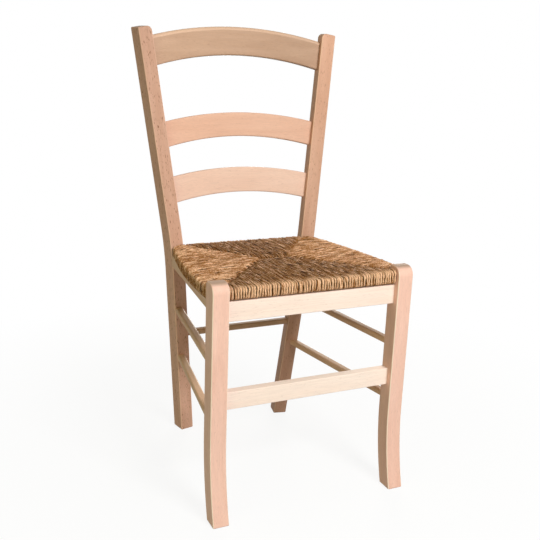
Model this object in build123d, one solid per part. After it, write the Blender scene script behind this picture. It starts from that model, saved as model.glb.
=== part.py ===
from build123d import *
from math import atan, cos, degrees, radians, sin, sqrt, tan
import os

# A rush-seated ladder-back dining chair in raw beech, in millimetres with +Z up and its front to -Y.
# Left and right are as seen by a person who faces the chair. Heights are above the floor. While the
# pieces are made, depths run back from the front faces of the front legs. At the end the whole chair
# moves so that its origin lies on the floor, under the middle of its outline box.

# Front legs
FRONT_WIDTH = 409.0          # over the outer faces
FRONT_LEG_WIDTH = 32.0
FRONT_LEG_DEPTH = 35.0
FRONT_LEG_HEIGHT = 459.0
FOOT_SWEEP = 24.0            # how far the foot runs forward
FOOT_SWEEP_HEIGHT = 165.0    # where the sweep starts
LEG_TOP_ROUND = 18.0         # front edge of the top
LEG_TOP_BACK_ROUND = 7.0

# Rear posts, each sawn with one bend, leaning outwards and turned to face the sitter
POST_HEIGHT = 880.0          # at the outer edge of the top
POST_WIDTH = 30.3
POST_DEPTH = 34.5
REAR_WIDTH = 334.6           # over the outer front edges at the bend
SEAT_DEPTH = 338.0           # front legs' front faces to the posts' outer front edges at the bend
BEND_HEIGHT = 432.0
BEND_RADIUS = 500.0
LEG_RAKE = 3.2               # degrees, backwards going down
BACK_RAKE = 7.7              # degrees, backwards going up
POST_SPLAY = 5.45            # degrees, outwards going up
POST_TOE = 12.0              # degrees, front faces turned inwards
POST_TOP_SLOPE = 10.0        # degrees, down to the outside
POST_TOP_ROUND = 10.0        # inner corner of the top

# Aprons under the seat
APRON_DROP = 37.0            # top edges below the front legs' tops
APRON_HEIGHT = 37.0          # front and rear
APRON_THICKNESS = 18.0
FRONT_APRON_SETBACK = 12.8
SIDE_APRON_HEIGHT = 23.0
SIDE_APRON_THICKNESS = 14.0
SIDE_APRON_INSET = 6.0       # inside the legs' outer faces
REAR_APRON_SETBACK = 3.0

# Stretchers
FRONT_STRETCHER_TOP = 250.0
FRONT_STRETCHER_HEIGHT = 34.0
FRONT_STRETCHER_THICKNESS = 18.0
FRONT_STRETCHER_SETBACK = 13.7
SLIM_STRETCHER_HEIGHT = 13.0
SLIM_STRETCHER_THICKNESS = 16.0
SLIM_STRETCHER_ROUND = 4.0
UPPER_SIDE_STRETCHER_LEVEL = 298.0
LOWER_SIDE_STRETCHER_LEVEL = 185.0
REAR_STRETCHER_LEVEL = 236.0

# Tenons and mortises
TENON_THICKNESS = 8.0
TENON_SHOULDER = 4.0         # wood left above and below a tenon
TENON_STAGGER = 2.0          # wood between tenons that pass in one leg
SLIM_TENON_SHOULDER = 2.0
MORTISE_SPARE = 1.0          # glue space past a tenon's end

# Back slats, with heights and gaps measured where they enter the posts
CREST_DROP = 14.3            # below the posts' outer tops
CREST_HEIGHT = 60.2
UPPER_BACK_GAP = 111.0       # crest rail to middle slat
MIDDLE_SLAT_HEIGHT = 51.5
LOWER_BACK_GAP = 61.0        # middle slat to lower slat
LOWER_SLAT_HEIGHT = 54.0
SLAT_THICKNESS = 14.0
SLAT_SETBACK = 11.0          # behind the posts' front faces
SLAT_BOW_RADIUS = 1250.0     # seen from above
SLAT_UPPER_ARCH = 730.0      # radius of the top edges, seen from the front
SLAT_LOWER_ARCH = 640.0      # radius of the bottom edges
SLAT_HOUSING = 12.0          # depth of the slots in the posts
SLAT_EDGE_ROUND = 2.5
CREST_TOP_ROUND = 8.0        # front top edge of the crest rail

# Woven seat on its own frame
CORD = 4.5                   # thickness of one layer of rush
SEAT_RAIL_THICKNESS = 13.0
FRONT_SEAT_RAIL_WIDTH = 45.0
SIDE_SEAT_RAIL_WIDTH = 40.0
SEAT_FRONT_INSET = 7.0       # rush behind the legs' front faces
SEAT_SIDE_INSET = 2.0        # rush inside the legs' outer faces, at the legs
SEAT_SIDE_BOW = 13.0         # how far the sides swell between the legs
SEAT_RISE = 5.0              # top higher at the front edge than at the rear edge
SEAT_REAR_RUN = 17.0         # rush behind the posts' outer front edges, over the rear apron
SEAT_EDGE_ROUND = 6.0        # upper edges
SEAT_LOWER_ROUND = 3.0       # edges that lie on the aprons
SEAT_NOTCH_GAP = 0.6         # around the legs
BRIDGE_LENGTH = 64.0         # middle ridge between the two points where the seams meet
BRIDGE_DEPTH = 197.0
SEAM_WIDTH = 5.0
SEAM_DEPTH = 2.0

# Hidden fixings
SCREW_DIAMETER = 4.0
SCREW_LENGTH = 30.0
SCREW_BITE = 9.0             # how far it enters the seat frame
SCREW_HEAD_DIAMETER = 8.0
SCREW_HEAD_HEIGHT = 3.0
SCREW_CLEARANCE = 0.4        # on the diameter of its holes
FRONT_SCREW_SPREAD = 220.0   # between the two front screws
SIDE_SCREW_DEPTH = 250.0     # how far back the side screws stand
DOWEL_DIAMETER = 8.0
DOWEL_LENGTH = 32.0
DOWEL_CLEARANCE = 0.2

EDGE_EASE = 2.5              # sanded edges of legs
RAIL_EASE = 1.5              # sanded long edges of aprons and front stretcher

REACH = FRONT_WIDTH + POST_HEIGHT    # longer than any piece
FRONT_INNER_HALF = FRONT_WIDTH / 2 - FRONT_LEG_WIDTH
APRON_TOP = FRONT_LEG_HEIGHT - APRON_DROP
SEAT_THICKNESS = SEAT_RAIL_THICKNESS + 2 * CORD
SEAT_TOP = APRON_TOP + SEAT_THICKNESS
SEAT_BACK = SEAT_DEPTH + SEAT_REAR_RUN
SIDE_APRON_SHIFT = SIDE_APRON_INSET + (SIDE_APRON_THICKNESS - FRONT_LEG_WIDTH) / 2
STAGGERED_TENON = APRON_HEIGHT - SIDE_APRON_HEIGHT - TENON_STAGGER
STAGGER_DROP = APRON_HEIGHT / 2 - TENON_SHOULDER - STAGGERED_TENON / 2
CREST_TOP = POST_HEIGHT - CREST_DROP
MIDDLE_SLAT_TOP = CREST_TOP - CREST_HEIGHT - UPPER_BACK_GAP
LOWER_SLAT_TOP = MIDDLE_SLAT_TOP - MIDDLE_SLAT_HEIGHT - LOWER_BACK_GAP

TOE = radians(POST_TOE)
POST_PLANE = Plane((REAR_WIDTH / 2, SEAT_DEPTH, 0), x_dir=(cos(TOE), -sin(TOE), 0), z_dir=(0, 0, 1))


def slope(angle):
    """Run over rise of a line that leans by an angle in degrees."""
    return tan(radians(angle))


def sagitta(radius, half_chord):
    """Rise of an arc over half its chord."""
    return radius - sqrt(radius**2 - half_chord**2)


def flipped(point):
    """The same point on the other side of the chair."""
    return Vector(-point.X, point.Y, point.Z)


def largest(shape):
    """The biggest solid that a cut leaves."""
    return Part(shape.solids().sort_by(SortBy.VOLUME)[-1].wrapped)


def eased(stock, radius):
    """A leg with its edges sanded round."""
    return fillet(stock.edges(), radius)


# Legs


def front_leg_stock():
    """The right front leg: a side profile with a swept foot and a rolled-over top."""
    height = FRONT_LEG_HEIGHT
    depth = FRONT_LEG_DEPTH
    back_round = LEG_TOP_BACK_ROUND
    outline = [
        TangentArc((0, FOOT_SWEEP_HEIGHT), (-FOOT_SWEEP, 0), tangent=(0, -1)),
        Line((-FOOT_SWEEP, 0), (depth - FOOT_SWEEP, 0)),
        TangentArc((depth, FOOT_SWEEP_HEIGHT), (depth - FOOT_SWEEP, 0), tangent=(0, -1)),
        Line((depth, FOOT_SWEEP_HEIGHT), (depth, height - back_round)),
        TangentArc((depth, height - back_round), (depth - back_round, height), tangent=(0, 1)),
        Line((depth - back_round, height), (LEG_TOP_ROUND, height)),
        TangentArc((0, height - LEG_TOP_ROUND), (LEG_TOP_ROUND, height), tangent=(0, 1)),
        Line((0, height - LEG_TOP_ROUND), (0, FOOT_SWEEP_HEIGHT)),
    ]
    return Pos(FRONT_INNER_HALF, 0, 0) * extrude(Plane.YZ * make_face(outline), FRONT_LEG_WIDTH)


def post_offset(height):
    """How far the post has moved outwards and back at a height, measured from its bend."""
    rise = height - BEND_HEIGHT
    rake = BACK_RAKE if rise > 0 else -LEG_RAKE
    return rise * slope(POST_SPLAY), rise * slope(rake)


def post_point(height, inwards, back):
    """A point in the right post, inwards from its outer face and back from its front face."""
    out, rear = post_offset(height)
    return POST_PLANE.from_local_coords((out - inwards, rear + back, height))


def rear_post_stock():
    """The right rear post: where its bent side profile meets its leaning front profile."""
    inner_top = POST_HEIGHT + POST_WIDTH * slope(POST_TOP_SLOPE)
    above = inner_top + POST_WIDTH
    heights = (0, BEND_HEIGHT, above)
    front_edge = [(post_offset(height)[1], height) for height in heights]
    back_edge = [(rear + POST_DEPTH, height) for rear, height in reversed(front_edge)]
    side = make_face(Polyline(*front_edge, *back_edge, close=True))
    side = fillet(side.vertices().group_by(Axis.Y)[1], BEND_RADIUS)
    front = make_face(
        Polyline(
            (post_offset(0)[0] - POST_WIDTH, 0),
            (post_offset(0)[0], 0),
            (post_offset(POST_HEIGHT)[0], POST_HEIGHT),
            (post_offset(inner_top)[0] - POST_WIDTH, inner_top),
            close=True,
        )
    )
    front = fillet(front.vertices().sort_by(Axis.Y)[-1], POST_TOP_ROUND)
    post = extrude(Plane.YZ * side, REACH, both=True) & extrude(Plane.XZ * front, REACH, both=True)
    return POST_PLANE * post


# Rails


class Rail:
    """A straight level rail whose two tenons end at given points inside the legs."""

    def __init__(self, start, end, thickness, height, tenon_height, lift=0, rounding=RAIL_EASE):
        self.start = start
        self.end = end
        self.section = RectangleRounded(thickness, height, rounding)
        self.tenon_section = Rectangle(TENON_THICKNESS, tenon_height)
        self.lift = Vector(0, 0, lift)

    def bar(self, section, lift=Vector(), spare=0.0):
        run = self.end - self.start
        along = run.normalized()
        first = self.start + lift - along * spare
        frame = Plane(first, x_dir=run.cross(Vector(0, 0, 1)), z_dir=run)
        return extrude(frame * section, run.length + 2 * spare)

    def solid(self, cutters):
        body = self.bar(self.section)
        for cutter in cutters:
            body = body - cutter
        return largest(body) + self.bar(self.tenon_section, self.lift)

    def mortise(self):
        return self.bar(self.tenon_section, self.lift, MORTISE_SPARE)


def front_rail(top, height, thickness, setback, tenon_height, lift):
    """A rail between the front legs, given by its top and its setback from their front faces."""
    end = Vector(FRONT_WIDTH / 2 - FRONT_LEG_WIDTH / 2, setback + thickness / 2, top - height / 2)
    return Rail(flipped(end), end, thickness, height, tenon_height, lift)


def front_apron():
    return front_rail(
        APRON_TOP, APRON_HEIGHT, APRON_THICKNESS, FRONT_APRON_SETBACK, STAGGERED_TENON, -STAGGER_DROP
    )


def front_stretcher():
    tenon_height = FRONT_STRETCHER_HEIGHT - 2 * TENON_SHOULDER
    return front_rail(
        FRONT_STRETCHER_TOP,
        FRONT_STRETCHER_HEIGHT,
        FRONT_STRETCHER_THICKNESS,
        FRONT_STRETCHER_SETBACK,
        tenon_height,
        0,
    )


def rear_apron():
    height = APRON_TOP - APRON_HEIGHT / 2
    end = post_point(height, POST_WIDTH / 2, REAR_APRON_SETBACK + APRON_THICKNESS / 2)
    return Rail(flipped(end), end, APRON_THICKNESS, APRON_HEIGHT, STAGGERED_TENON, -STAGGER_DROP)


def slim_rail(start, end):
    tenon_height = SLIM_STRETCHER_HEIGHT - 2 * SLIM_TENON_SHOULDER
    return Rail(
        start, end, SLIM_STRETCHER_THICKNESS, SLIM_STRETCHER_HEIGHT, tenon_height, 0, SLIM_STRETCHER_ROUND
    )


def rear_stretcher():
    end = post_point(REAR_STRETCHER_LEVEL, POST_WIDTH / 2, POST_DEPTH / 2)
    return slim_rail(flipped(end), end)


def side_ends(height, shift=0.0):
    """Middle of the right front leg and of the right post at a height, both moved inwards by a shift."""
    front = Vector(FRONT_WIDTH / 2 - FRONT_LEG_WIDTH / 2 - shift, FRONT_LEG_DEPTH / 2, height)
    return front, post_point(height, POST_WIDTH / 2 + shift, POST_DEPTH / 2)


def side_apron():
    start, end = side_ends(APRON_TOP - SIDE_APRON_HEIGHT / 2, SIDE_APRON_SHIFT)
    tenon_height = SIDE_APRON_HEIGHT - 2 * TENON_SHOULDER
    return Rail(start, end, SIDE_APRON_THICKNESS, SIDE_APRON_HEIGHT, tenon_height)


def side_stretcher(height):
    return slim_rail(*side_ends(height))


# Slats


def slat(high, height, posts, top_round):
    """A slat arched in front view and bowed back in plan, let into slots in the posts."""
    low = high - height
    middle = high - height / 2
    corner = post_point(middle, POST_WIDTH, 0)
    half = FRONT_WIDTH / 2 + SLAT_HOUSING
    reach_low = post_point(low, POST_WIDTH, 0).X
    reach_high = post_point(high, POST_WIDTH, 0).X
    crown_low = low - middle + sagitta(SLAT_LOWER_ARCH, reach_low)
    crown_high = high - middle + sagitta(SLAT_UPPER_ARCH, reach_high)
    end_low = crown_low - sagitta(SLAT_LOWER_ARCH, half)
    end_high = crown_high - sagitta(SLAT_UPPER_ARCH, half)
    outline = [
        ThreePointArc((-half, end_low), (0, crown_low), (half, end_low)),
        Line((half, end_low), (half, end_high)),
        ThreePointArc((half, end_high), (0, crown_high), (-half, end_high)),
        Line((-half, end_high), (-half, end_low)),
    ]
    arch = extrude(Plane.XZ * make_face(outline), -2 * POST_DEPTH, both=True)
    ring = Pos(0, -SLAT_BOW_RADIUS) * (Circle(SLAT_BOW_RADIUS + SLAT_THICKNESS) - Circle(SLAT_BOW_RADIUS))
    blank = arch & extrude(ring, POST_HEIGHT, both=True)
    blank = slat_edges(blank, top_round)
    tilt = atan(slope(BACK_RAKE) * cos(TOE) - slope(POST_SPLAY) * sin(TOE))
    back = corner.Y + SLAT_SETBACK + sagitta(SLAT_BOW_RADIUS, corner.X)
    blank = Pos(0, back, middle) * Rot(X=-degrees(tilt)) * blank
    deeper = POST_PLANE.x_dir * SLAT_HOUSING
    for post, side in zip(posts, (1, -1)):
        blank = blank - Pos(side * deeper.X, deeper.Y) * post
    return largest(blank)


def slat_edges(blank, top_round):
    """Rounds the four long edges, the front top one by its own radius."""
    edges = blank.edges().filter_by(lambda edge: edge.length > FRONT_WIDTH / 2)
    front_top = edges.sort_by(Axis.Z)[-2:].sort_by(Axis.Y)[0]
    middle = front_top.center()
    blank = fillet([edge for edge in edges if edge != front_top], SLAT_EDGE_ROUND)
    return fillet(blank.edges().sort_by_distance(middle)[0], top_round)


# Seat


def seat_side(depth, inset=0.0):
    """Half width of the woven seat at a depth, moved in, on an arc from front leg to rear post."""
    front = Vector(FRONT_WIDTH / 2 - SEAT_SIDE_INSET, 0)
    rear = Vector(REAR_WIDTH / 2 - SEAT_SIDE_INSET, SEAT_DEPTH)
    chord = rear - front
    radius = (chord.length**2 / 4 + SEAT_SIDE_BOW**2) / (2 * SEAT_SIDE_BOW)
    inward = Vector(-chord.Y, chord.X).normalized()
    centre = (front + rear) / 2 + inward * (radius - SEAT_SIDE_BOW)
    return centre.X + sqrt((radius - inset) ** 2 - (depth - centre.Y) ** 2)


def seat_block(inset, low, high, front=None, rear=None):
    """A slab of the seat's outline, moved in all round, between two heights and two depths."""
    first = SEAT_FRONT_INSET + inset if front is None else front
    last = SEAT_BACK - inset if rear is None else rear
    depths = (first, (first + last) / 2, last)
    right = [Vector(seat_side(depth, inset), depth) for depth in depths]
    left = [flipped(point) for point in right]
    outline = [
        ThreePointArc(*right),
        Line(right[-1], left[-1]),
        ThreePointArc(*reversed(left)),
        Line(left[0], right[0]),
    ]
    return Pos(0, 0, low) * extrude(make_face(outline), high - low)


def seat_level(depth):
    """Height of the rush's top at a depth."""
    return SEAT_TOP + SEAT_RISE * (SEAT_BACK - depth) / (SEAT_BACK - SEAT_FRONT_INSET)


def seams():
    """The five seam lines of the weave in plan: four diagonals and the bridge between them."""
    apex = Vector(BRIDGE_LENGTH / 2, BRIDGE_DEPTH)
    front_corner = Vector(FRONT_INNER_HALF, FRONT_LEG_DEPTH)
    rear_corner = post_point(SEAT_TOP, POST_WIDTH, 0)
    rear_corner = Vector(rear_corner.X, rear_corner.Y)
    lines = [(flipped(apex), apex)]
    for corner in (front_corner, rear_corner):
        lines.append((corner, apex))
        lines.append((flipped(corner), flipped(apex)))
    return lines


def seam_groove(start, end, sink):
    """A V groove between two points of a seam, its root sunk below or above them."""
    run = end - start
    across = run.cross(Vector(0, 0, 1)).normalized() * (SEAM_WIDTH / 2)
    root = start + Vector(0, 0, sink)
    mouth = Vector(0, 0, -sink)
    corners = [start + across, root, start - across, start - across + mouth, start + across + mouth]
    return extrude(make_face(Polyline(*corners, close=True)), run.length, dir=run.normalized())


def notched(body, legs):
    """Cuts clearance for the legs out of a piece of the seat."""
    for leg in legs:
        for step in ((1, 0), (-1, 0), (0, 1), (0, -1)):
            body = body - Pos(step[0] * SEAT_NOTCH_GAP, step[1] * SEAT_NOTCH_GAP) * leg
    return body


def rush_weave(legs):
    """The woven rush: a rounded slab with seam grooves, hollow where the frame and stuffing lie."""
    profile = Polyline(
        (SEAT_FRONT_INSET, APRON_TOP),
        (SEAT_BACK, APRON_TOP),
        (SEAT_BACK, seat_level(SEAT_BACK)),
        (SEAT_FRONT_INSET, seat_level(SEAT_FRONT_INSET)),
        close=True,
    )
    wedge = extrude(Plane.YZ * make_face(profile), REACH, both=True)
    weave = seat_block(0, APRON_TOP, SEAT_TOP + SEAT_RISE) & wedge
    weave = fillet(weave.faces().sort_by(Axis.Z)[-1].edges(), SEAT_EDGE_ROUND)
    weave = fillet(weave.faces().sort_by(Axis.Z)[0].edges(), SEAT_LOWER_ROUND)
    for seam in seams():
        upper = [point + Vector(0, 0, seat_level(point.Y)) for point in seam]
        lower = [point + Vector(0, 0, APRON_TOP) for point in seam]
        weave = weave - seam_groove(*upper, -SEAM_DEPTH) - seam_groove(*lower, SEAM_DEPTH)
    weave = weave - seat_block(CORD, APRON_TOP + CORD, SEAT_TOP - CORD)
    for x, y in screw_places():
        weave = weave - screw_hole(x, y)
    return largest(notched(weave, legs))


def frame_limits():
    """Depths where the front seat rail ends and the rear seat rail starts."""
    front = SEAT_FRONT_INSET + CORD + FRONT_SEAT_RAIL_WIDTH
    rear = SEAT_BACK - CORD - FRONT_SEAT_RAIL_WIDTH
    return front, rear


def frame_slab(inset, front=None, rear=None):
    return seat_block(inset, APRON_TOP + CORD, SEAT_TOP - CORD, front, rear)


def side_slab(side, front, rear):
    """One side of the frame between two depths."""
    core = frame_slab(CORD, front, rear) - frame_slab(CORD + SIDE_SEAT_RAIL_WIDTH, front, rear)
    return core & Pos(side * REACH / 2, 0, APRON_TOP) * Box(REACH, REACH, REACH)


def seat_frame(legs):
    """The four rails that the rush is woven on, notched around the legs and bored for fixings."""
    front, rear = frame_limits()
    rails = {
        "seat_rail_front": frame_slab(CORD, rear=front),
        "seat_rail_rear": frame_slab(CORD, front=rear),
        "seat_rail_left": side_slab(-1, front, rear),
        "seat_rail_right": side_slab(1, front, rear),
    }
    bores = [screw_hole(x, y) for x, y in screw_places()]
    bores += [dowel(place, DOWEL_CLEARANCE) for place in dowel_places()]
    for name, rail in rails.items():
        for bore in bores:
            rail = rail - bore
        rails[name] = largest(notched(rail, legs))
    return rails


def seat_stuffing():
    """Straw packed between the two layers of rush, inside the frame."""
    front, rear = frame_limits()
    return frame_slab(CORD + SIDE_SEAT_RAIL_WIDTH, front, rear)


# Fixings


def dowel_places():
    """Middles of the four dowels that join the seat frame's corners."""
    level = (APRON_TOP + SEAT_TOP) / 2
    places = []
    for depth in frame_limits():
        x = seat_side(depth, CORD + SIDE_SEAT_RAIL_WIDTH / 2)
        places += [Vector(-x, depth, level), Vector(x, depth, level)]
    return places


def dowel(place, spare=0.0):
    shape = Rot(X=90) * Cylinder((DOWEL_DIAMETER + spare) / 2, DOWEL_LENGTH + spare)
    return Pos(place) * shape


def screw_places():
    """Plan places of the four screws: two in the front apron and one in each side apron."""
    front_depth = FRONT_APRON_SETBACK + APRON_THICKNESS / 2
    start, end = side_ends(APRON_TOP, SIDE_APRON_SHIFT)
    share = (SIDE_SCREW_DEPTH - start.Y) / (end.Y - start.Y)
    side = start + (end - start) * share
    return [
        (-FRONT_SCREW_SPREAD / 2, front_depth),
        (FRONT_SCREW_SPREAD / 2, front_depth),
        (-side.X, side.Y),
        (side.X, side.Y),
    ]


def screw_seat():
    """Height of the face that the screw heads pull against."""
    return APRON_TOP + CORD + SCREW_BITE - SCREW_LENGTH


def upright(diameter, low, high, x, y):
    base = (Align.CENTER, Align.CENTER, Align.MIN)
    return Pos(x, y, low) * Cylinder(diameter / 2, high - low, align=base)


def screw(x, y):
    seat = screw_seat()
    head = upright(SCREW_HEAD_DIAMETER, seat - SCREW_HEAD_HEIGHT, seat, x, y)
    return head + upright(SCREW_DIAMETER, seat, seat + SCREW_LENGTH, x, y)


def screw_hole(x, y):
    """Shank hole up from the head's seat, and a counterbore below it."""
    seat = screw_seat()
    shank = upright(SCREW_DIAMETER + SCREW_CLEARANCE, seat, seat + SCREW_LENGTH + SCREW_CLEARANCE, x, y)
    counterbore = upright(SCREW_HEAD_DIAMETER + SCREW_CLEARANCE, APRON_TOP - 2 * APRON_HEIGHT, seat, x, y)
    return shank + counterbore


# Assembly


def chair():
    """Every piece of the chair by name, in its place."""
    right_leg = front_leg_stock()
    left_leg = mirror(right_leg, about=Plane.YZ)
    right_post = rear_post_stock()
    left_post = mirror(right_post, about=Plane.YZ)
    legs = [left_leg, right_leg, left_post, right_post]
    posts = [right_post, left_post]

    ahead = Pos(0, FRONT_LEG_DEPTH - REACH / 2, 0) * Box(REACH, REACH, REACH)
    beside = Pos(FRONT_INNER_HALF + REACH / 2, 0, 0) * Box(REACH, REACH, REACH)
    between_front = [beside, mirror(beside, about=Plane.YZ)]
    screw_bores = [screw_hole(x, y) for x, y in screw_places()]

    rails = {
        "front_apron": (front_apron(), between_front),
        "front_stretcher": (front_stretcher(), between_front),
        "rear_apron": (rear_apron(), posts),
        "rear_stretcher": (rear_stretcher(), posts),
    }
    side_rails = {
        "apron": side_apron(),
        "upper_stretcher": side_stretcher(UPPER_SIDE_STRETCHER_LEVEL),
        "lower_stretcher": side_stretcher(LOWER_SIDE_STRETCHER_LEVEL),
    }

    pieces = {}
    mortises = []
    for name, (rail, cutters) in rails.items():
        pieces[name] = rail.solid(cutters)
        mortises.append(rail.mortise())
    for name, rail in side_rails.items():
        right = rail.solid([ahead, right_post, pieces["rear_apron"]])
        pieces[f"right_{name}"] = right
        pieces[f"left_{name}"] = mirror(right, about=Plane.YZ)
        mortises += [rail.mortise(), mirror(rail.mortise(), about=Plane.YZ)]
    for name in ("front_apron", "left_apron", "right_apron"):
        for bore in screw_bores:
            pieces[name] = pieces[name] - bore

    pieces["crest_rail"] = slat(CREST_TOP, CREST_HEIGHT, posts, CREST_TOP_ROUND)
    pieces["middle_slat"] = slat(MIDDLE_SLAT_TOP, MIDDLE_SLAT_HEIGHT, posts, SLAT_EDGE_ROUND)
    pieces["lower_slat"] = slat(LOWER_SLAT_TOP, LOWER_SLAT_HEIGHT, posts, SLAT_EDGE_ROUND)
    slots = [pieces[name] for name in ("crest_rail", "middle_slat", "lower_slat")]

    names = ("front_leg_left", "front_leg_right", "rear_post_left", "rear_post_right")
    for name, stock in zip(names, legs):
        leg = eased(stock, EDGE_EASE)
        for cut in mortises + slots:
            leg = leg - cut
        pieces[name] = largest(leg)

    pieces["rush_weave"] = rush_weave(legs)
    pieces.update(seat_frame(legs))
    pieces["seat_stuffing"] = seat_stuffing()
    pieces["seat_frame_dowels"] = Compound([dowel(place).solid() for place in dowel_places()])
    pieces["seat_screws"] = Compound([screw(x, y).solid() for x, y in screw_places()])
    return pieces


os.makedirs("parts", exist_ok=True)
pieces = chair()
box = Compound([solid for piece in pieces.values() for solid in piece.solids()]).bounding_box()
centre = Pos(-box.center().X, -box.center().Y, -box.min.Z)
for name, piece in pieces.items():
    export_step(centre * piece, f"parts/{name}.step")
print("outline box", box.size, "moved forwards by", box.center().Y)
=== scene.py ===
import math
import random
from typing import NamedTuple

import bmesh
import bpy
from mathutils import Matrix, Vector, noise


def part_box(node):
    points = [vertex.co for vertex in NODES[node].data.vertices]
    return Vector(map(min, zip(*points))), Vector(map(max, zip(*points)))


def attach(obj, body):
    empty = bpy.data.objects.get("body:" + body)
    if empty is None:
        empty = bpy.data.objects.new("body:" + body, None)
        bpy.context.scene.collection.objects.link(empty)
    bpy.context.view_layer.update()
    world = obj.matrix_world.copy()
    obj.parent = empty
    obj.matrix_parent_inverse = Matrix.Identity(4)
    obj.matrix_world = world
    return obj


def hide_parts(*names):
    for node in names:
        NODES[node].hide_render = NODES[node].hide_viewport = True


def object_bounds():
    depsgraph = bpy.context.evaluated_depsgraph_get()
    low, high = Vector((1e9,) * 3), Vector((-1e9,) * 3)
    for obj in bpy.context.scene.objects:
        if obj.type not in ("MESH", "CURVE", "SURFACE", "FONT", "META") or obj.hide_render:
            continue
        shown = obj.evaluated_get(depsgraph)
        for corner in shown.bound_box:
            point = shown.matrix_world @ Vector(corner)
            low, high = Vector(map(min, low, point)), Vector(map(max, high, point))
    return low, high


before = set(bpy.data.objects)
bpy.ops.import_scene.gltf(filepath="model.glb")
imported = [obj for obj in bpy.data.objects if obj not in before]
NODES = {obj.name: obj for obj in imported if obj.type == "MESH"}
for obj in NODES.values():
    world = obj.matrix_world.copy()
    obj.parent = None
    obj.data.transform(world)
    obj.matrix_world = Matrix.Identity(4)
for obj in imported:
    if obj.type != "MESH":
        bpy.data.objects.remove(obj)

# A rush-seated ladder-back chair in raw beech. Lengths are metres, angles are degrees, and colours are
# sRGB levels from 0 to 255. Left and right are as seen by a person who faces the chair.

CAD_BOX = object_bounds()

# Camera
CAMERA_PLACE = (-0.674, -1.4257, 0.8561)
CAMERA_YAW = 25.24           # right of straight ahead
CAMERA_PITCH = -15.66
CAMERA_ROLL = 2.18
FOCAL_LENGTH = 53.54         # millimetres
SENSOR_WIDTH = 36.0          # millimetres

# Light: each lamp's place, size, power in watts and tone
KEY_LAMP = ((0.5, -2.69, 2.25), 1.1, 94.0, (255, 255, 255))
SIDE_LAMP = ((-2.68, -1.55, 1.27), 2.0, 20.0, (250, 254, 206))
BACK_LAMP = ((1.8, 2.8, 0.6), 1.4, 78.0, (255, 250, 240))
FILL_LEVEL = 0.15            # of the light from all round
FILL_TONE = (249, 254, 204)
WHITE = (1.0, 1.0, 1.0, 1.0)

# Floor
FLOOR_HALF = 9.0             # from its middle to its edges
FLOOR_SHADE = 0.4            # as it lights the chair from below
FLOOR_SEEN_SHADE = 0.95      # as it shows itself
FLOOR_ROUGHNESS = 0.9
SHADOW_SHARE = 0.12          # how much of the floor's own light and shade shows near the chair
SHADOW_START = 0.2           # where the floor starts to fade
SHADOW_REACH = 1.1           # where it has faded to white

# Beech: pale and deep tone of each kind of piece
LEG_TONES = ((245, 203, 186), (232, 184, 165))
LEFT_POST_TONES = ((222, 177, 155), (197, 150, 125))
RIGHT_POST_TONES = ((228, 180, 154), (210, 158, 130))
CREST_TONES = ((200, 163, 138), (180, 142, 116))
MIDDLE_SLAT_TONES = ((240, 194, 170), (226, 176, 150))
LOWER_SLAT_TONES = ((248, 212, 193), (234, 192, 171))
FRONT_RAIL_TONES = ((252, 233, 221), (248, 223, 209))
SIDE_RAIL_TONES = ((226, 187, 154), (206, 164, 130))
# The seat frame under the rush is painted dark: painted shade that shows in the gaps between the cords
SHADED_FRAME_TONES = ((112, 78, 48), (82, 54, 30))
FLECK_TONE = (132, 86, 56)
END_GRAIN_TONE = (182, 151, 132)

# Strength of the flecks
FLECKS = {"rear_post_left": 1.0, "rear_post_right": 0.5, "crest_rail": 0.2}
OTHER_FLECKS = 0.15

# Painted highlights: paler tones where light catches a piece's edges, on the crest rail's upper edges
# and on the others' upright edges
PAINTED_HIGHLIGHT_TONES = {
    "crest_rail": (222, 184, 158),
    "front_leg_left": (255, 236, 216),
    "front_leg_right": (255, 236, 216),
    "rear_post_left": (244, 200, 174),
    "rear_post_right": (246, 204, 174),
}
HIGHLIGHT_SHARE = 0.85
UPPER_EDGE = (0.17, 0.32)    # upward part of the normal where the painted highlight starts and is full
UPRIGHT_EDGE = (0.28, 0.42)  # the same for the product of the two level parts of the normal

# Brightness at the two ends of a piece, lower or left end first, painted into its colour
SHADE_DRIFTS = {
    # The rear posts: painted light low on the left one, where light reaches under the seat, and painted
    # shade low on the right one, in the seat's shade
    "rear_post_left": (1.13, 0.92),
    "rear_post_right": (0.64, 0.98),
    # The rear stretcher: painted shade under the seat
    "rear_stretcher": (0.82, 0.82),
    # The crest rail and slats: darker towards the right end
    "crest_rail": (1.09, 0.9),
    "middle_slat": (1.0, 0.9),
    "lower_slat": (1.0, 0.91),
}

# Figure of the beech. Each layer of noise: features per metre across the grain, the share of these
# along it, detail and distortion
BANDS = (60.0, 0.06, 4.0, 0.7)
BLOTCHES = (11.0, 0.45, 2.0, 0.0)
FIBRES = (900.0, 0.025, 2.0, 0.0)
RAYS = (760.0, 0.15, 1.0, 0.0)
PORES = (1400.0, 1.0, 1.0, 0.0)
NOISE_LEVELS = (0.3, 0.7)    # between which most of a noise lies
BAND_LEVELS = (0.32, 0.68)
RAY_LEVELS = (0.64, 0.72)    # the peaks alone
BAND_SHARE = 0.55            # the blotches have the rest
FIBRE_TINTS = (0.94, 1.04)   # brightness
PORE_TINTS = (0.85, 1.1)
RAY_DEPTH = 0.5              # as a share of the fibres' height
END_FACING = (0.7, 0.97)     # part of the normal along the grain where end grain starts and is full
BEECH_ROUGHNESS = (0.52, 0.7)
BEECH_SPECULAR = 0.3
BEECH_BUMP = (0.25, 0.0002)  # strength and height
END_BAND = 0.02              # share of a piece's length that is taken for its end
DOWEL_RUN = (0, 1, 0)

# Rush
RUSH_DARK = (64, 30, 2)
RUSH_GOLD = (162, 102, 42)
RUSH_PALE = (255, 210, 171)
RUSH_ROUGHNESS = (0.72, 0.5)
RUSH_SPECULAR = 0.1
RUSH_BUMP = (0.6, 0.0004)
GOLD_TONE = 0.45             # a strand is dark at tone 0, golden at this one and pale at 1

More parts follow.
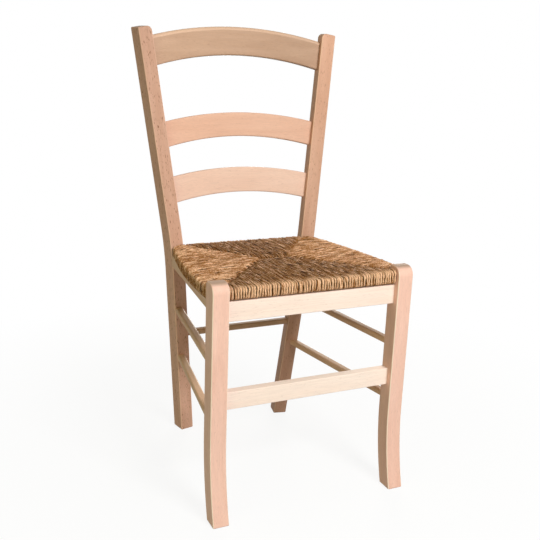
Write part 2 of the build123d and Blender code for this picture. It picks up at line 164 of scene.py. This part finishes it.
# Figure of the rush. Each layer of noise: stretch round and along a strand, scale and detail
STREAKS = ((1.7, 1.7, 34.0), 1.6, 3.0)
PATCHES = ((0.2, 0.2, 55.0), 1.0, 2.0)
NOISE_SLIDE = 40.0           # how far the noise moves along a strand from tone 0 to tone 1
PATCH_TONES = (-0.3, 0.3)    # change of tone
PALE_STREAK = (0.54, 0.68)   # noise where a streak starts and is full
DARK_STREAK = (0.46, 0.32)
STREAK_SHARE = 0.5

# Hidden straw and screws: pale and deep tone, spots per metre, roughness and share of metal
# The straw is dark with painted shade, which shows in the gaps between the cords
SHADED_STRAW_FINISH = (((104, 72, 38), (60, 38, 18)), 300.0, 0.85, 0.0)
ZINC_FINISH = (((188, 188, 184), (150, 150, 148)), 900.0, 0.35, 1.0)
SPOT_DETAIL = 4.0
SPOT_LEVELS = (0.35, 0.65)
SPOT_SPECULAR = 0.5
SPOT_BUMP = (0.3, 0.0004)

# Cords of the seat
CORD_PITCH = 0.0052
CORD_RADIUS = 0.00225
CORD_STEP = 0.008            # between two points of a route along a panel
LEAST_STEPS = 2
CORD_LAY = 0.048             # length of one full twist
LAY_SPREAD = 0.3             # share by which that differs
STRANDS = 4                  # in each cord
STRAND_RADIUS = 0.001
STRAND_SPREAD = 0.2          # share by which strands differ in thickness
STRAND_LUMPS = 0.1           # share by which one strand differs along its length
STRAND_SIDES = 6
EDGE_BEND = 0.0042           # bend of a cord's middle over the upper edge of the seat
EDGE_STEPS = 3               # route points round a bend
UNDER_SHARES = (0.3, 0.6, 0.9)             # route points below the seat, on the way to the seam
MIN_REACH = 0.017            # shortest way from an edge to a seam
SEAM_DIVE = 0.005            # how deep a cord goes down at a seam
CROSSING_EASE = 0.006        # length over which a crossing cord goes down
HIDDEN_EASE = 0.02           # the same for a cord that goes below the crossing ones
CROSSING_REACH = 0.0045      # how far cords cross a seam
RAGGED = 0.003               # unevenness of the cords' ends
CROWN = 0.0012               # rise of a panel between edge and seam
STRAY = 0.0007               # sideways wander of a single cord
WAVE = 0.0014                # sideways wander of cords that lie together
WAVE_NOISE = (0.8, 45.0, 9.1)              # noise per cord, per metre and per panel
WAVE_SLIDE = 2.3             # of this noise from the lower to the upper layer
HEAVE = 0.0013               # unevenness in height
HEAVE_NOISE = (2.3, 40.0, 5.3)
HEAVE_SLIDE = 50.0           # of this noise away from that of the wave
MIDDLE_TONE = 0.5
TONE_SPREAD = 0.5
TONE_POWER = 3               # more strands are near the middle tone the higher this is
RIDGE_SHADING = 0.22            # painted highlight on the ridge of a cord, painted shade in its hollows
BEND_REACH = 0.03            # how far from the edge the cords' painted light and shade starts to change
RUSH_SEED = 20

# Outline of the seat in plan
BRIDGE_HALF = 0.032          # from the middle to the points where three panels meet
BRIDGE_Y = -0.0087
REAR_CORNER = Vector((0.1391, 0.1400))     # inner front corner of the right post at the seat
POST_FRONT = 0.1323          # where the sides of the seat meet the posts
SIDE_MIDDLE = Vector((-0.9148, -0.1576))   # centre of the bowed right side
SIDE_RADIUS = 1.1183
LEG_CLEARANCE = 0.0009       # cord to leg

# Top of the seat
TOP_RISE = 0.005             # from its rear edge to its front edge
FULL_CORNER = Vector((0.185, -0.185))      # where the weave is packed fuller
FULL_RISE = 0.0035
FULL_REACH = 0.15

# Rush laid along the edges, inside the bends of the cords
LINING_INSETS = (0.0034, 0.0054)
LINING_LEVELS = (0.0012, 0.0032)           # above the aprons
# Painted shade: the lining is darker, as it lies in the dark inside the bends
LINING_SHADE = -0.4

# Straw between the layers of the rush
STRAW_GRAIN = 0.006
STRAW_SLACK = 0.0006         # how far the straw stays inside the space for it
STRAW_RUFFLE = 0.0012


class Panel(NamedTuple):
    """How the cords of one panel of the seat lie, and the light and shade painted on them."""

    number: int              # gives its cords a noise of their own
    crosses: bool            # over the cords of the next panels, at the seams
    lower_bend: float        # of a cord's middle, over the lower edge
    lift: float              # of the lower edge off the apron
    top_shading: float          # painted shade where the cords lie flat
    bend_shading: float         # painted light and shade where they bend over the upper edge
    lower_shading: float        # painted light and shade at the lower edge


PANELS = {
    "front": Panel(0, False, 0.0042, 0.0028, -0.19, 0.28, 0.2),
    "rear": Panel(1, False, 0.0008, 0.0, -0.2, 0.1, 0.1),
    "left": Panel(2, True, 0.002, 0.0012, -0.08, -0.06, -0.15),
    "right": Panel(3, True, 0.002, 0.0012, -0.11, 0.0, 0.0),
}


def linear(tone):
    """Linear RGBA of a colour given in sRGB levels."""
    levels = [level / 255 for level in tone]
    values = [v / 12.92 if v <= 0.04045 else ((v + 0.055) / 1.055) ** 2.4 for v in levels]
    return (*values, 1.0)


# Node trees


def add(tree, kind, settings=None, **inputs):
    """Adds a node, sets its properties and gives its sockets constants or links."""
    node = tree.nodes.new("ShaderNode" + kind)
    for name, value in (settings or {}).items():
        setattr(node, name, value)
    for name, value in inputs.items():
        plug(tree, node.inputs[name.replace("_", " ")], value)
    return node


def plug(tree, socket, value):
    """Links an output to a socket, or sets the socket's own value."""
    if isinstance(value, bpy.types.NodeSocket):
        tree.links.new(value, socket)
    else:
        socket.default_value = value


def math_node(tree, operation, first, second=0.0):
    node = add(tree, "Math", {"operation": operation})
    plug(tree, node.inputs[0], first)
    plug(tree, node.inputs[1], second)
    return node.outputs[0]


def scaled(tree, value, factor):
    return math_node(tree, "MULTIPLY", value, factor)


def remapped(tree, value, low, high, to_low=0.0, to_high=1.0):
    limits = {"From_Min": low, "From_Max": high, "To_Min": to_low, "To_Max": to_high}
    return add(tree, "MapRange", Value=value, **limits).outputs["Result"]


def mixed(tree, factor, first, second, blend="MIX"):
    """A mix of two colours. On a Mix node these are inputs 6 and 7, and their result is output 2."""
    node = add(tree, "Mix", {"data_type": "RGBA", "blend_type": blend})
    plug(tree, node.inputs["Factor"], factor)
    plug(tree, node.inputs[6], first)
    plug(tree, node.inputs[7], second)
    return node.outputs[2]


def grey(tree, value):
    return add(tree, "CombineColor", Red=value, Green=value, Blue=value).outputs[0]


def tinted(tree, colour, brightness):
    return mixed(tree, 1.0, colour, grey(tree, brightness), "MULTIPLY")


def new_group(name, inputs, outputs):
    """An empty shader group with named sockets, and the sockets of its two end nodes."""
    tree = bpy.data.node_groups.new(name, "ShaderNodeTree")
    for label, kind in inputs:
        tree.interface.new_socket(label, in_out="INPUT", socket_type="NodeSocket" + kind)
    for label, kind in outputs:
        tree.interface.new_socket(label, in_out="OUTPUT", socket_type="NodeSocket" + kind)
    start = tree.nodes.new("NodeGroupInput")
    end = tree.nodes.new("NodeGroupOutput")
    return tree, start.outputs, end.inputs


def grain_noise(tree, place, layer):
    """Noise drawn out along Z, the way the grain runs."""
    scale, draw_out, detail, distortion = layer
    mapped = add(tree, "Mapping", Vector=place, Scale=(1.0, 1.0, draw_out)).outputs["Vector"]
    texture = add(tree, "TexNoise", Vector=mapped, Scale=scale, Detail=detail, Distortion=distortion)
    return texture.outputs["Fac"]


def beech_figure():
    """Beech along Z: soft growth bands, fine fibres, short dark flecks, and darker porous end grain."""
    tree, given, result = new_group(
        "beech_figure",
        [
            ("Place", "Vector"),
            ("End", "Float"),
            ("Pale", "Color"),
            ("Deep", "Color"),
            ("Fleck", "Color"),
            ("End Grain", "Color"),
            ("Flecks", "Float"),
        ],
        [("Color", "Color"), ("Roughness", "Float"), ("Height", "Float")],
    )
    place = given["Place"]
    bands = remapped(tree, grain_noise(tree, place, BANDS), *BAND_LEVELS)
    blotches = remapped(tree, grain_noise(tree, place, BLOTCHES), *NOISE_LEVELS)
    fibres = grain_noise(tree, place, FIBRES)
    rays = remapped(tree, grain_noise(tree, place, RAYS), *RAY_LEVELS)
    pores = grain_noise(tree, place, PORES)
    bands = scaled(tree, bands, BAND_SHARE)
    blotches = scaled(tree, blotches, 1 - BAND_SHARE)
    wood = mixed(tree, math_node(tree, "ADD", bands, blotches), given["Pale"], given["Deep"])
    wood = tinted(tree, wood, remapped(tree, fibres, *NOISE_LEVELS, *FIBRE_TINTS))
    wood = mixed(tree, scaled(tree, rays, given["Flecks"]), wood, given["Fleck"])
    cut = tinted(tree, given["End Grain"], remapped(tree, pores, *NOISE_LEVELS, *PORE_TINTS))
    tree.links.new(mixed(tree, given["End"], wood, cut), result["Color"])
    tree.links.new(remapped(tree, fibres, *NOISE_LEVELS, *BEECH_ROUGHNESS), result["Roughness"])
    tree.links.new(math_node(tree, "SUBTRACT", fibres, scaled(tree, rays, RAY_DEPTH)), result["Height"])
    return tree


def strand_noise(tree, lay, slide, layer):
    """Noise on the strands, moved along each by its own tone."""
    stretch, scale, detail = layer
    mapped = add(tree, "Mapping", Vector=lay, Location=slide, Scale=stretch).outputs["Vector"]
    return add(tree, "TexNoise", Vector=mapped, Scale=scale, Detail=detail).outputs["Fac"]


def rush_fibre():
    """Dry rush: each strand dark, golden or pale, with lighter and darker streaks along its fibre."""
    tree, given, result = new_group(
        "rush_fibre",
        [("Lay", "Vector"), ("Tone", "Float"), ("Dark", "Color"), ("Gold", "Color"), ("Pale", "Color")],
        [("Color", "Color"), ("Roughness", "Float"), ("Height", "Float")],
    )
    slide = add(tree, "CombineXYZ", Z=scaled(tree, given["Tone"], NOISE_SLIDE)).outputs[0]
    streaks = strand_noise(tree, given["Lay"], slide, STREAKS)
    patches = strand_noise(tree, given["Lay"], slide, PATCHES)
    change = remapped(tree, patches, *NOISE_LEVELS, *PATCH_TONES)
    dryness = math_node(tree, "ADD", given["Tone"], change)
    body = mixed(tree, remapped(tree, dryness, GOLD_TONE, 1.0), given["Gold"], given["Pale"])
    body = mixed(tree, remapped(tree, dryness, GOLD_TONE, 0.0), body, given["Dark"])
    body = mixed(tree, remapped(tree, streaks, *PALE_STREAK, 0.0, STREAK_SHARE), body, given["Pale"])
    body = mixed(tree, remapped(tree, streaks, *DARK_STREAK, 0.0, STREAK_SHARE), body, given["Dark"])
    tree.links.new(body, result["Color"])
    tree.links.new(remapped(tree, streaks, *NOISE_LEVELS, *RUSH_ROUGHNESS), result["Roughness"])
    tree.links.new(streaks, result["Height"])
    return tree


# Materials


def material_shell(name, specular, bump_shape):
    """A new material with its shader, and a bump that still needs a height."""
    material = bpy.data.materials.new(name)
    material.use_nodes = True
    tree = material.node_tree
    shader = tree.nodes["Principled BSDF"]
    shader.inputs["Specular IOR Level"].default_value = specular
    strength, distance = bump_shape
    bump = add(tree, "Bump", Strength=strength, Distance=distance)
    tree.links.new(bump.outputs["Normal"], shader.inputs["Normal"])
    return material, tree, shader, bump


def add_figure(tree, shader, bump, figure, tones, **inputs):
    """Adds a figure group with its tones and lets it give roughness and bump. Returns its colour."""
    group = add(tree, "Group", {"node_tree": figure}, **inputs)
    for label, tone in tones.items():
        group.inputs[label].default_value = linear(tone)
    tree.links.new(group.outputs["Roughness"], shader.inputs["Roughness"])
    tree.links.new(group.outputs["Height"], bump.inputs["Height"])
    return group.outputs["Color"]


def grain_turn(grain):
    """The turn that lays a grain direction along Z."""
    return grain.rotation_difference(Vector((0, 0, 1))).to_euler()


def beech(node, tones, direction):
    """Raw beech for a piece whose grain runs along a direction, with painted highlights on some edges
    and painted light and shade that drifts along some pieces.
    """
    material, tree, shader, bump = material_shell(f"beech_{node}", BEECH_SPECULAR, BEECH_BUMP)
    surface = add(tree, "TexCoord").outputs
    grain = Vector(direction).normalized()
    turn = grain_turn(grain)
    turned = add(tree, "Mapping", Vector=surface["Object"], Rotation=turn).outputs["Vector"]
    facing = add(tree, "VectorMath", {"operation": "DOT_PRODUCT"})
    plug(tree, facing.inputs[0], surface["Normal"])
    plug(tree, facing.inputs[1], grain)
    end = remapped(tree, math_node(tree, "ABSOLUTE", facing.outputs["Value"]), *END_FACING)
    pale, deep = tones
    labelled = {"Pale": pale, "Deep": deep, "Fleck": FLECK_TONE, "End Grain": END_GRAIN_TONE}
    inputs = {"Place": turned, "End": end, "Flecks": FLECKS.get(node, OTHER_FLECKS)}
    colour = add_figure(tree, shader, bump, BEECH_FIGURE, labelled, **inputs)
    # Painted highlight on the edges that face the light
    if node in PAINTED_HIGHLIGHT_TONES:
        share = painted_highlight_share(tree, surface["Normal"], node)
        colour = mixed(tree, share, colour, linear(PAINTED_HIGHLIGHT_TONES[node]))
    # Painted light and shade that drifts from one end of the piece to the other
    if node in SHADE_DRIFTS:
        reaches = [vertex.co.dot(grain) for vertex in NODES[node].data.vertices]
        along = add(tree, "SeparateXYZ", Vector=turned).outputs["Z"]
        colour = tinted(tree, colour, remapped(tree, along, min(reaches), max(reaches), *SHADE_DRIFTS[node]))
    tree.links.new(colour, shader.inputs["Base Color"])
    return material


def painted_highlight_share(tree, normal, node):
    """How far the painted highlight covers a piece, which depends on where its surface faces."""
    facing = add(tree, "SeparateXYZ", Vector=normal).outputs
    if node == "crest_rail":
        return remapped(tree, facing["Z"], *UPPER_EDGE, 0.0, HIGHLIGHT_SHARE)
    turn = math_node(tree, "ABSOLUTE", scaled(tree, facing["X"], facing["Y"]))
    return remapped(tree, turn, *UPRIGHT_EDGE, 0.0, HIGHLIGHT_SHARE)


def rush(name):
    """Golden-brown rush that reads its own lay and tone, with its painted light and shade, from the
    mesh.
    """
    material, tree, shader, bump = material_shell(name, RUSH_SPECULAR, RUSH_BUMP)
    lay = add(tree, "Attribute", {"attribute_name": "lay"}).outputs["Vector"]
    tone = add(tree, "Attribute", {"attribute_name": "tone"}).outputs["Fac"]
    labelled = {"Dark": RUSH_DARK, "Gold": RUSH_GOLD, "Pale": RUSH_PALE}
    colour = add_figure(tree, shader, bump, RUSH_FIBRE, labelled, Lay=lay, Tone=tone)
    tree.links.new(colour, shader.inputs["Base Color"])
    return material


def mottled(name, tones, scale, roughness, metallic):
    """A plain mottled finish for hidden straw and screws."""
    material, tree, shader, bump = material_shell(name, SPOT_SPECULAR, SPOT_BUMP)
    place = add(tree, "TexCoord").outputs["Object"]
    spots = add(tree, "TexNoise", Vector=place, Scale=scale, Detail=SPOT_DETAIL).outputs["Fac"]
    pale, deep = tones
    colour = mixed(tree, remapped(tree, spots, *SPOT_LEVELS), linear(pale), linear(deep))
    tree.links.new(colour, shader.inputs["Base Color"])
    tree.links.new(spots, bump.inputs["Height"])
    shader.inputs["Roughness"].default_value = roughness
    shader.inputs["Metallic"].default_value = metallic
    return material


# Wooden pieces


def run_of(node):
    """Direction along which a piece is longest, from the ends of its mesh."""
    points = [vertex.co for vertex in NODES[node].data.vertices]
    low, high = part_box(node)
    size = high - low
    axis = max(range(3), key=lambda index: size[index])
    band = size[axis] * END_BAND
    first = [p for p in points if p[axis] < low[axis] + band]
    last = [p for p in points if p[axis] > high[axis] - band]
    return sum(last, Vector()) / len(last) - sum(first, Vector()) / len(first)


def dress_wood():
    """Gives every wooden piece beech with its grain along its own length."""
    tones = {
        "rear_post_left": LEFT_POST_TONES,
        "rear_post_right": RIGHT_POST_TONES,
        "crest_rail": CREST_TONES,
        "middle_slat": MIDDLE_SLAT_TONES,
        "lower_slat": LOWER_SLAT_TONES,
        "front_apron": FRONT_RAIL_TONES,
        "front_stretcher": FRONT_RAIL_TONES,
        "rear_apron": SIDE_RAIL_TONES,
        "rear_stretcher": SIDE_RAIL_TONES,
    }
    for side in ("left", "right"):
        tones[f"front_leg_{side}"] = LEG_TONES
        for part in ("apron", "upper_stretcher", "lower_stretcher"):
            tones[f"{side}_{part}"] = SIDE_RAIL_TONES
    # The seat frame and its dowels get the dark tones of painted shade
    for side in PANELS:
        tones[f"seat_rail_{side}"] = SHADED_FRAME_TONES
    for node, pair in tones.items():
        dress(node, beech(node, pair, run_of(node)))
    dress("seat_frame_dowels", beech("seat_frame_dowels", SHADED_FRAME_TONES, DOWEL_RUN))


def dress(node, material):
    mesh = NODES[node].data
    mesh.materials.clear()
    mesh.materials.append(material)


# Woven rush


def seam_x(y, leg_corner):
    """Half the distance between the seams of the two side panels at a depth."""
    if y < BRIDGE_Y:
        share = (y - leg_corner.y) / (BRIDGE_Y - leg_corner.y)
        return leg_corner.x + (BRIDGE_HALF - leg_corner.x) * share
    share = (y - BRIDGE_Y) / (REAR_CORNER.y - BRIDGE_Y)
    return BRIDGE_HALF + (REAR_CORNER.x - BRIDGE_HALF) * share


def seam_y(x, corner):
    """Depth of the seam of a front or rear panel at a distance from the middle."""
    share = max(0.0, (abs(x) - BRIDGE_HALF) / (corner.x - BRIDGE_HALF))
    return BRIDGE_Y + (corner.y - BRIDGE_Y) * share


def spread(low, high, pitch):
    """Middles of equal steps between two limits, each about one pitch long."""
    count = round((high - low) / pitch)
    step = (high - low) / count
    return [low + step * (index + 0.5) for index in range(count)]


def side_edge(y):
    """Half width of the seat at a depth, on its bowed side."""
    return SIDE_MIDDLE.x + math.sqrt(SIDE_RADIUS**2 - (y - SIDE_MIDDLE.y) ** 2)


def seat_top(place, low, high):
    """Height of the seat's top at a place: it rises to the front and is fuller at one corner."""
    slope = TOP_RISE * (place.y - low.y) / (high.y - low.y)
    near = max(0.0, 1 - (place - FULL_CORNER).length / FULL_REACH)
    return high.z - slope + FULL_RISE * near * near


def panel_ends(low, high):
    """For each panel, the pairs of edge point and seam point of its cords, in plan."""
    leg_low, leg_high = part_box("front_leg_right")
    leg_corner = Vector((leg_low.x, leg_high.y))
    panels = {side: [] for side in PANELS}
    for side, edge_y, corner in (("front", low.y, leg_corner), ("rear", high.y, REAR_CORNER)):
        inner = corner.x - LEG_CLEARANCE
        for x in spread(-inner, inner, CORD_PITCH):
            panels[side].append((Vector((x, edge_y)), Vector((x, seam_y(x, corner)))))
    edge_ys = spread(leg_corner.y + LEG_CLEARANCE, POST_FRONT - LEG_CLEARANCE, CORD_PITCH)
    seam_ys = spread(leg_corner.y, REAR_CORNER.y, (REAR_CORNER.y - leg_corner.y) / len(edge_ys))
    for edge_y, meet_y in zip(edge_ys, seam_ys):
        half = side_edge(edge_y)
        inwards = seam_x(meet_y, leg_corner)
        panels["left"].append((Vector((-half, edge_y)), Vector((-inwards, meet_y))))
        panels["right"].append((Vector((half, edge_y)), Vector((inwards, meet_y))))
    return panels


def cord_profile(reach, panel):
    """A cord's way in side view, out of the seam, over the top, round the edge and back below: the
    distance from the edge, the share of the seat's height, an offset from that height and a change of
    tone, which is painted light and shade."""
    turn = CORD_RADIUS + EDGE_BEND
    steps = max(LEAST_STEPS, round((reach - turn) / CORD_STEP))
    ease_length = CROSSING_EASE if panel.crosses else HIDDEN_EASE
    over = []
    for index in range(steps, 0, -1):
        distance = turn + (reach - turn) * index / steps
        ease = max(0.0, 1 - (reach - distance) / ease_length)
        offset = CROWN * math.sin(math.pi * distance / reach) - SEAM_DIVE * ease * ease
        # From the painted shade of the flat top to the painted light and shade of the bend
        nearness = max(0.0, 1 - (distance - turn) / BEND_REACH)
        tone = panel.top_shading + (panel.bend_shading - panel.top_shading) * nearness * nearness
        over.append((distance, 1.0, offset, tone))
    upper = []
    lower = []
    for index in range(EDGE_STEPS + 1):
        angle = math.pi / 2 * index / EDGE_STEPS
        sweep = math.sin(angle)
        drop = 1 - math.cos(angle)
        upper.append((turn - EDGE_BEND * sweep, 1.0, -EDGE_BEND * drop, panel.bend_shading))
        inset = CORD_RADIUS + panel.lower_bend * (1 - sweep)
        lower.append((inset, 0.0, panel.lower_bend * drop + panel.lift, panel.lower_shading))
    under = [(turn + (reach - turn) * share, 0.0, 0.0, 0.0) for share in UNDER_SHARES]
    return over + upper + lower[::-1] + under + [(reach, 0.0, SEAM_DIVE, 0.0)]


def cord_route(ends, box, number, panel, draw):
    """Centreline of one cord, with a slight wander, its sideways direction and its changes of tone,
    which are painted light and shade.
    """
    edge, seam = ends
    low, high = box
    inward = (seam - edge).normalized()
    sideways = Vector((-inward.y, inward.x))
    crossing = CROSSING_REACH if panel.crosses else 0.0
    reach = max((seam - edge).length + crossing, MIN_REACH) + draw.uniform(-RAGGED, RAGGED)
    own = draw.uniform(-STRAY, STRAY)
    route = []
    shadings = []
    for distance, share, offset, shading in cord_profile(reach, panel):
        per_cord, per_metre, per_panel = WAVE_NOISE
        along = distance * per_metre + share * WAVE_SLIDE
        drift = noise.noise(Vector((number * per_cord, along, panel.number * per_panel)))
        per_cord, per_metre, per_panel = HEAVE_NOISE
        across = panel.number * per_panel + HEAVE_SLIDE
        heave = noise.noise(Vector((number * per_cord, distance * per_metre, across)))
        place = edge + inward * distance + sideways * (WAVE * drift + own)
        bottom = low.z + CORD_RADIUS
        top = seat_top(place, low, high) - CORD_RADIUS
        route.append(Vector((*place, bottom + (top - bottom + HEAVE * heave) * share + offset)))
        shadings.append(shading)
    return route, Vector((*sideways, 0)), shadings


def twisted_strands(route, sideways, draw):
    """Centrelines of the strands twisted into one cord, with their height on it from -1 to 1."""
    start = draw.uniform(0, math.tau)
    lay = CORD_LAY * draw.uniform(1 - LAY_SPREAD, 1 + LAY_SPREAD)
    strands = [[] for _ in range(STRANDS)]
    heights = [[] for _ in range(STRANDS)]
    along = 0.0
    for index, place in enumerate(route):
        before = route[max(index - 1, 0)]
        after = route[min(index + 1, len(route) - 1)]
        along += (place - before).length
        outward = sideways.cross(after - before).normalized()
        for number, strand in enumerate(strands):
            angle = start + math.tau * (along / lay + number / STRANDS)
            offset = sideways * math.cos(angle) + outward * math.sin(angle)
            strand.append(place + offset * (CORD_RADIUS - STRAND_RADIUS))
            heights[number].append(math.sin(angle))
    return strands, heights


def strand_mesh(name, strands, shadings, draw):
    """Strands as closed tubes, with their lay and tone, including painted light and shade, stored on the
    mesh.
    """
    mesh = tube_mesh(name, strands, draw)
    lay = []
    tones = []
    for strand, changes in zip(strands, shadings):
        tone = MIDDLE_TONE + TONE_SPREAD * draw.uniform(-1, 1) ** TONE_POWER
        along = draw.uniform(0, 1)
        for index, place in enumerate(strand):
            along += (place - strand[index - 1]).length if index else 0.0
            for side in range(STRAND_SIDES):
                angle = math.tau * side / STRAND_SIDES
                lay += [math.cos(angle), math.sin(angle), along]
            tones += [tone + changes[index]] * STRAND_SIDES
    mesh.attributes.new("lay", "FLOAT_VECTOR", "POINT").data.foreach_set("vector", lay)
    mesh.attributes.new("tone", "FLOAT", "POINT").data.foreach_set("value", tones)
    close_ends(mesh)
    mesh.polygons.foreach_set("use_smooth", [True] * len(mesh.polygons))
    mesh.name = name
    return mesh


def tube_mesh(name, strands, draw):
    """Strands as open tubes, with one ring of vertices for each point of a centreline."""
    curve = bpy.data.curves.new(name, "CURVE")
    curve.dimensions = "3D"
    curve.bevel_depth = STRAND_RADIUS
    # A bevel has four sides, and two more for each step of its resolution
    curve.bevel_resolution = (STRAND_SIDES - 4) // 2
    for strand in strands:
        spline = curve.splines.new("POLY")
        spline.points.add(len(strand) - 1)
        girth = draw.uniform(1 - STRAND_SPREAD, 1 + STRAND_SPREAD)
        for point, place in zip(spline.points, strand):
            point.co = (*place, 1.0)
            point.radius = girth * draw.uniform(1 - STRAND_LUMPS, 1 + STRAND_LUMPS)
    carrier = bpy.data.objects.new(name + "_route", curve)
    mesh = bpy.data.meshes.new_from_object(carrier)
    bpy.data.objects.remove(carrier)
    bpy.data.curves.remove(curve)
    return mesh


def close_ends(mesh):
    """Caps the open ends of tubes."""
    shape = bmesh.new()
    shape.from_mesh(mesh)
    rims = [edge for edge in shape.edges if edge.is_boundary]
    bmesh.ops.holes_fill(shape, edges=rims, sides=STRAND_SIDES)
    bmesh.ops.recalc_face_normals(shape, faces=shape.faces)
    shape.to_mesh(mesh)
    shape.free()


def lining_strands(low, high):
    """Rush laid along the rear and side edges, which keeps light out there."""
    strands = []
    half = REAR_CORNER.x - CORD_PITCH
    leg_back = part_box("front_leg_right")[1].y
    for inset in LINING_INSETS:
        for level in LINING_LEVELS:
            z = low.z + level
            strands.append([Vector((x, high.y - inset, z)) for x in spread(-half, half, CORD_STEP)])
            for side in (-1, 1):
                ys = spread(leg_back, POST_FRONT, CORD_STEP)
                strands.append([Vector((side * (side_edge(y) - inset), y, z)) for y in ys])
    return strands


def weave_seat(material):
    """The four woven panels, each of cords wrapped over its side of the seat frame, and their lining."""
    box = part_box("rush_weave")
    draw = random.Random(RUSH_SEED)
    for side, pairs in panel_ends(*box).items():
        strands = []
        shadings = []
        for number, ends in enumerate(pairs):
            route, sideways, changes = cord_route(ends, box, number, PANELS[side], draw)
            twisted, heights = twisted_strands(route, sideways, draw)
            strands += twisted
            # Painted highlight where a strand lies on top of its cord, painted shade where it lies low
            for ridge in heights:
                shadings.append([change + RIDGE_SHADING * rise for change, rise in zip(changes, ridge)])
        place_rush(strand_mesh(f"rush_{side}_panel", strands, shadings, draw), material)
    strands = lining_strands(*box)
    shadings = [[LINING_SHADE] * len(strand) for strand in strands]
    place_rush(strand_mesh("rush_lining", strands, shadings, draw), material)


def place_rush(mesh, material):
    mesh.materials.append(material)
    place_piece(mesh, "rush_weave")


def pack_straw(material):
    """The straw between the layers of the rush, ruffled on its surface."""
    carrier = bpy.data.objects.new("straw_form", NODES["seat_stuffing"].data.copy())
    bpy.context.scene.collection.objects.link(carrier)
    grain = carrier.modifiers.new("straw_grain", "REMESH")
    grain.mode = "VOXEL"
    grain.voxel_size = STRAW_GRAIN
    formed = carrier.evaluated_get(bpy.context.evaluated_depsgraph_get())
    mesh = bpy.data.meshes.new_from_object(formed)
    bpy.data.objects.remove(carrier)
    shape = bmesh.new()
    shape.from_mesh(mesh)
    for vertex in shape.verts:
        ruffle = (noise.noise(vertex.co / STRAW_GRAIN) + 1) / 2
        vertex.co -= vertex.normal * (STRAW_SLACK + STRAW_RUFFLE * ruffle)
    shape.to_mesh(mesh)
    shape.free()
    mesh.name = "straw_stuffing"
    mesh.materials.clear()
    mesh.materials.append(material)
    place_piece(mesh, "seat_stuffing")


def place_piece(mesh, node):
    """Puts a finished mesh in the place of a node."""
    piece = bpy.data.objects.new(mesh.name, mesh)
    bpy.context.scene.collection.objects.link(piece)
    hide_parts(node)
    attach(piece, "root")
    return piece


# Stage


def make_camera():
    data = bpy.data.cameras.new("camera")
    data.lens = FOCAL_LENGTH
    data.sensor_width = SENSOR_WIDTH
    camera = bpy.data.objects.new("camera", data)
    turn = Matrix.Rotation(math.radians(-CAMERA_YAW), 4, "Z")
    tip = Matrix.Rotation(math.radians(90 + CAMERA_PITCH), 4, "X")
    roll = Matrix.Rotation(math.radians(CAMERA_ROLL), 4, "Z")
    camera.matrix_world = Matrix.Translation(CAMERA_PLACE) @ turn @ tip @ roll
    bpy.context.scene.collection.objects.link(camera)
    bpy.context.scene.camera = camera


def seen_directly(tree):
    """1 for rays that show the background itself, straight or in gloss and glass."""
    path = add(tree, "LightPath").outputs
    shown = math_node(tree, "MAXIMUM", path["Is Camera Ray"], path["Is Glossy Ray"])
    return math_node(tree, "MAXIMUM", shown, path["Is Transmission Ray"])


def make_lamp(name, place, size, power, tone):
    """A square soft lamp aimed at the middle of the chair."""
    light = bpy.data.lights.new(name, "AREA")
    light.size = size
    light.energy = power
    light.color = linear(tone)[:3]
    lamp = bpy.data.objects.new(name, light)
    aim = (CAD_BOX[0] + CAD_BOX[1]) / 2 - Vector(place)
    lamp.matrix_world = Matrix.Translation(place) @ aim.to_track_quat("-Z", "Y").to_matrix().to_4x4()
    bpy.context.scene.collection.objects.link(lamp)


def make_light():
    """A strong soft lamp in front, others to the left and behind, even fill, and a white background."""
    make_lamp("key_softbox", *KEY_LAMP)
    make_lamp("side_softbox", *SIDE_LAMP)
    make_lamp("back_softbox", *BACK_LAMP)
    world = bpy.data.worlds.new("studio")
    world.use_nodes = True
    tree = world.node_tree
    seen = seen_directly(tree)
    background = tree.nodes["Background"].inputs
    plug(tree, background["Strength"], remapped(tree, seen, 0.0, 1.0, FILL_LEVEL, 1.0))
    plug(tree, background["Color"], mixed(tree, seen, linear(FILL_TONE), WHITE))
    bpy.context.scene.world = world
    bpy.context.scene.view_settings.view_transform = "Standard"


def make_floor():
    """A pale floor that keeps the chair's shadow and fades to white around it."""
    mesh = bpy.data.meshes.new("floor")
    shape = bmesh.new()
    bmesh.ops.create_grid(shape, x_segments=1, y_segments=1, size=FLOOR_HALF)
    shape.to_mesh(mesh)
    shape.free()
    floor = bpy.data.objects.new("floor", mesh)
    bpy.context.scene.collection.objects.link(floor)
    material = bpy.data.materials.new("pale_floor")
    material.use_nodes = True
    tree = material.node_tree
    shader = tree.nodes["Principled BSDF"]
    seen = seen_directly(tree)
    shade = remapped(tree, seen, 0.0, 1.0, FLOOR_SHADE, FLOOR_SEEN_SHADE)
    tree.links.new(grey(tree, shade), shader.inputs["Base Color"])
    shader.inputs["Roughness"].default_value = FLOOR_ROUGHNESS
    place = add(tree, "TexCoord").outputs["Object"]
    away = add(tree, "VectorMath", {"operation": "LENGTH"}, Vector=place).outputs["Value"]
    fade = remapped(tree, away, SHADOW_START, SHADOW_REACH, 1 - SHADOW_SHARE, 1.0)
    glow = add(tree, "Emission", Color=WHITE, Strength=1.0)
    blend = add(tree, "MixShader", Fac=scaled(tree, fade, seen))
    tree.links.new(shader.outputs[0], blend.inputs[1])
    tree.links.new(glow.outputs[0], blend.inputs[2])
    tree.links.new(blend.outputs[0], tree.nodes["Material Output"].inputs["Surface"])
    mesh.materials.append(material)


BEECH_FIGURE = beech_figure()
RUSH_FIBRE = rush_fibre()

make_camera()
make_light()
make_floor()
dress_wood()
dress("seat_screws", mottled("zinc_screw", *ZINC_FINISH))
pack_straw(mottled("shaded_straw", *SHADED_STRAW_FINISH))
weave_seat(rush("rush_cord"))
